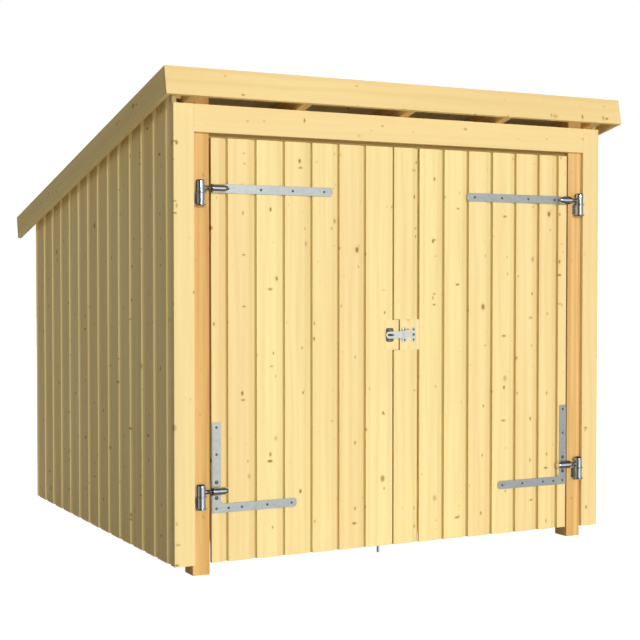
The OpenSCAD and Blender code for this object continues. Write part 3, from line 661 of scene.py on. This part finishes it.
def steel(name, light, deep, spangle, rough, rougher):
    """Zinc on steel: grey with a cool cast, flecked where the zinc froze in crystals."""
    metal = bpy.data.materials.new(name)
    metal.use_nodes = True
    tree = metal.node_tree
    place = wire(tree, "TexCoord").outputs["Object"]
    fleck = wire(tree, "TexVoronoi", {"Vector": place, "Scale": 1 / spangle}).outputs["Color"]
    fleck = wire(tree, "SeparateColor", {0: fleck}).outputs[0]
    cloud = wire(tree, "TexNoise", {"Vector": place, "Scale": 1 / (8 * spangle), "Detail": 3.0}).outputs[0]
    share = wire(tree, "Math", {0: fleck, 1: cloud}, operation="MULTIPLY").outputs[0]
    colour = wire(tree, "Mix", {0: share, 6: linear(light), 7: linear(deep)}, data_type="RGBA").outputs[2]
    shader = tree.nodes["Principled BSDF"]
    shader.inputs["Metallic"].default_value = 1.0
    tree.links.new(colour, shader.inputs["Base Color"])
    haze = wire(tree, "MapRange", {0: cloud, 3: rough, 4: rougher}).outputs[0]
    tree.links.new(haze, shader.inputs["Roughness"])
    tree.links.new(wire(tree, "Bump", {"Strength": 0.10, "Distance": 0.0002, "Height": cloud}).outputs[0],
                   shader.inputs["Normal"])
    return metal


# Hot-dip galvanised flat bar: dull blue-grey with frosty crystals of 10 mm.
galvanised = steel("hot-dip galvanised steel", "#b3b8b7", "#9da3a4", 0.010, 0.40, 0.50)
# Bright zinc plate on turned parts: clear reflections with dark and light bands.
bright_zinc = steel("bright zinc-plated steel", "#dfe3e5", "#c9cfd2", 0.006, 0.10, 0.18)
# Satin zinc on the pressed hasp: light grey, almost white where it faces the lamps.
satin_zinc = steel("satin zinc-plated steel", "#d6dad6", "#c6cbc8", 0.006, 0.38, 0.46)
# Screw heads and the staple in a dark gunmetal grey with a dull shine: painted shade, darker than the zinc
# itself, standing in for the shade in the screws' sockets and round the staple.
shade_darkened_zinc = steel("zinc on steel darkened as painted shade", "#6b6a62", "#54544f", 0.004, 0.35, 0.45)

HINGE_X, BARREL_R, ROD_R = 1.018, 0.020, 0.009
UPPER_Z, LOWER_Z = 1.688, 0.368


def turned(stack, rings, centre, axis, count=24):
    """Adds a turned form: rings of (place along the axis, radius or radius function) about a centre line."""
    first = len(stack["points"])
    for along, radius in rings:
        for i in range(count):
            angle = 2 * math.pi * i / count
            r = radius(angle) if callable(radius) else radius
            p, q = r * math.cos(angle), r * math.sin(angle)
            offset = {"x": (along, p, q), "y": (p, along, q), "z": (p, q, along)}[axis]
            stack["points"].append(tuple(c + o for c, o in zip(centre, offset)))
    stack["faces"].append([first + i for i in range(count)])
    stack["faces"].append([first + (len(rings) - 1) * count + i for i in range(count)])
    for k in range(len(rings) - 1):
        low = first + k * count
        for i in range(count):
            j = (i + 1) % count
            stack["faces"].append([low + i, low + j, low + j + count, low + i + count])


# A screw's head, its socket and the crown of a coach bolt: heights and radii as shares of the head's radius.
HEAD = ((0, 1), (0.14, 0.98), (0.34, 0.80), (0.44, 0.55))
SOCKET, CROWN = ((0.45, 0.50), (0.12, 0.46)), (0.50, 0.22)


def screw(stack, x, y, z, r, out=-1, socket=True):
    """Adds a round head that stands out along y, with a six-sided socket, or plain as on a coach bolt."""
    def six(size):
        return lambda angle: size * math.cos(math.pi / 6) / math.cos(angle % (math.pi / 3) - math.pi / 6)

    rings = [(up * r, wide * r) for up, wide in HEAD]
    rings += [(up * r, six(wide * r)) for up, wide in SOCKET] if socket else [(CROWN[0] * r, CROWN[1] * r)]
    turned(stack, [(out * along, radius) for along, radius in rings], (x, y, z), "y")


STRAP_T, STEEL_EASE = 0.005, 0.0008
SMALL_R, LARGE_R = 0.0055, 0.0085
UPPER_SCREWS = (0.408, 0.566, 0.722, 0.880)
LEG_X, LEG_SCREWS, LEG_BOLTS = 0.938, (0.645, 0.526), (0.404, 0.335)
FOOT_Z, FOOT_SCREWS = 0.288, (0.881, 0.817, 0.693, 0.573)
# The rod's thread has a 2 mm pitch; it is drawn a little coarser.
THREAD, ROOT_OUT, CREST_OUT, ROD_IN, ROD_SHORT = 0.0025, 0.0001, 0.0008, 0.006, 0.004
COLLAR_R, COLLAR_T, PIN_OVER, ROUND = 0.0255, 0.0042, 0.0420, 32
COLLAR = ((0.0, 0.001), (0.0008, 0.0), (COLLAR_T - 0.0008, 0.0), (COLLAR_T, 0.001))
SLEEVE = ((0.0083, 0.0150), (0.0068, 0.0172), (0.0045, 0.0184), (-0.0460, 0.0184), (-0.0560, 0.0158),
          (-0.0645, 0.0134))
for side, sign in (("left", -1), ("right", 1)):
    leaf_body = side + "_door"
    for level, z in (("upper", UPPER_Z), ("lower", LOWER_Z)):
        stem = side + "_" + level
        dressed(stem + "_pintle", stem + "_hinge_pin", bright_zinc, "shed", STEEL_EASE)
        lo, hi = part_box(stem + "_pintle")
        hinge_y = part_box(stem + "_eye")[0].y + BARREL_R
        stack = pile()
        for level_z in (lo.z, hi.z - PIN_OVER):
            rings = [(dz, COLLAR_R - ease) for dz, ease in COLLAR]
            turned(stack, rings, (sign * HINGE_X, hinge_y, level_z), "z", ROUND)
        fit(stem + "_hinge_collars", stack, bright_zinc, "shed", "zinc_plated_steel")
        dressed(stem + "_eye", stem + "_hinge_eye", bright_zinc, leaf_body, STEEL_EASE)
        dressed(stem + "_strap", stem + "_hinge_strap", galvanised, leaf_body, STEEL_EASE)
        stack = pile()
        rings, x = [], leaf_out - ROD_IN
        while x < HINGE_X - BARREL_R - ROD_SHORT:
            rings += [(sign * x, ROD_R + ROOT_OUT), (sign * (x + THREAD / 2), ROD_R + CREST_OUT)]
            x += THREAD
        turned(stack, rings, (0, hinge_y, z), "x")
        rings = [(sign * (leaf_out + along), radius) for along, radius in SLEEVE]
        turned(stack, rings, (0, hinge_y, z), "x", ROUND)
        fit(stem + "_rod_thread", stack, bright_zinc, leaf_body, "zinc_plated_steel")
    stack = pile()
    front = y_face - STRAP_T
    for x in UPPER_SCREWS:
        screw(stack, sign * x, front, UPPER_Z, SMALL_R)
    for z in LEG_SCREWS:
        screw(stack, sign * LEG_X, front, z, SMALL_R)
    for z in LEG_BOLTS:
        screw(stack, sign * LEG_X, front, z, LARGE_R, socket=False)
    for x in FOOT_SCREWS + (LEG_X,):
        screw(stack, sign * x, front, FOOT_Z, SMALL_R)
    fit(side + "_strap_screws", stack, shade_darkened_zinc, leaf_body, "zinc_plated_steel")


# Hasp and staple: pressed from 3 mm zinc-plated sheet. The lobed plate is screwed to the right block, its arm
# turns on a rolled knuckle and drops over the eye of the staple on the left block.
SHEET_T, SHEET_EASE = 0.003, 0.0006
dressed("hasp_plate", "hasp_lobed_plate", satin_zinc, "right_door", SHEET_EASE)
dressed("hasp_arm", "hasp_slotted_arm", satin_zinc, "hasp", SHEET_EASE)
# The staple plate wears the zinc darkened as painted shade.
dressed("hasp_staple", "hasp_staple_plate", shade_darkened_zinc, "left_door", SHEET_EASE)
LOCK_Z, LOBE_Z, NEAR_LOBE_X, FAR_LOBE_X, STAPLE_X = 1.034, 0.024, 0.0185, 0.0675, -0.0615
HASP_SCREW_R, HASP_BOLT_R = 0.0050, 0.0065
stack = pile()
for x in (NEAR_LOBE_X, FAR_LOBE_X):
    for dz in (-LOBE_Z, LOBE_Z):
        screw(stack, x, y_face - SHEET_T, LOCK_Z + dz, HASP_SCREW_R)
screw(stack, FAR_LOBE_X, y_face - SHEET_T, LOCK_Z, HASP_BOLT_R, socket=False)
fit("hasp_plate_screws", stack, shade_darkened_zinc, "right_door", "zinc_plated_steel")
stack = pile()
for dz in (-LOBE_Z, LOBE_Z):
    screw(stack, STAPLE_X, y_face - SHEET_T, LOCK_Z + dz, HASP_SCREW_R)
fit("hasp_staple_screws", stack, bright_zinc, "left_door", "zinc_plated_steel")


# Drop bolt: a round zinc-plated bar behind the left leaf that drops into the ground, with a collar and a
# bent handle; two loops on a plate, screwed to the lowest ledge, guide it.
dressed("drop_bolt", "drop_bolt_bar", bright_zinc, "drop_bolt", SHEET_EASE)
dressed("drop_bolt_guides", "drop_bolt_guide_plate", galvanised, "left_door", STEEL_EASE)
lo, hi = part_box("drop_bolt_guides")
GUIDE_T, GUIDE_SCREW_R, FROM_SIDE, FROM_END = 0.004, 0.0035, 0.0045, 0.008
stack = pile()
for x in (lo.x + FROM_SIDE, hi.x - FROM_SIDE):
    for z in (lo.z + FROM_END, hi.z - FROM_END):
        screw(stack, x, lo.y + GUIDE_T, z, GUIDE_SCREW_R, out=1)
fit("drop_bolt_guide_screws", stack, bright_zinc, "left_door", "zinc_plated_steel")
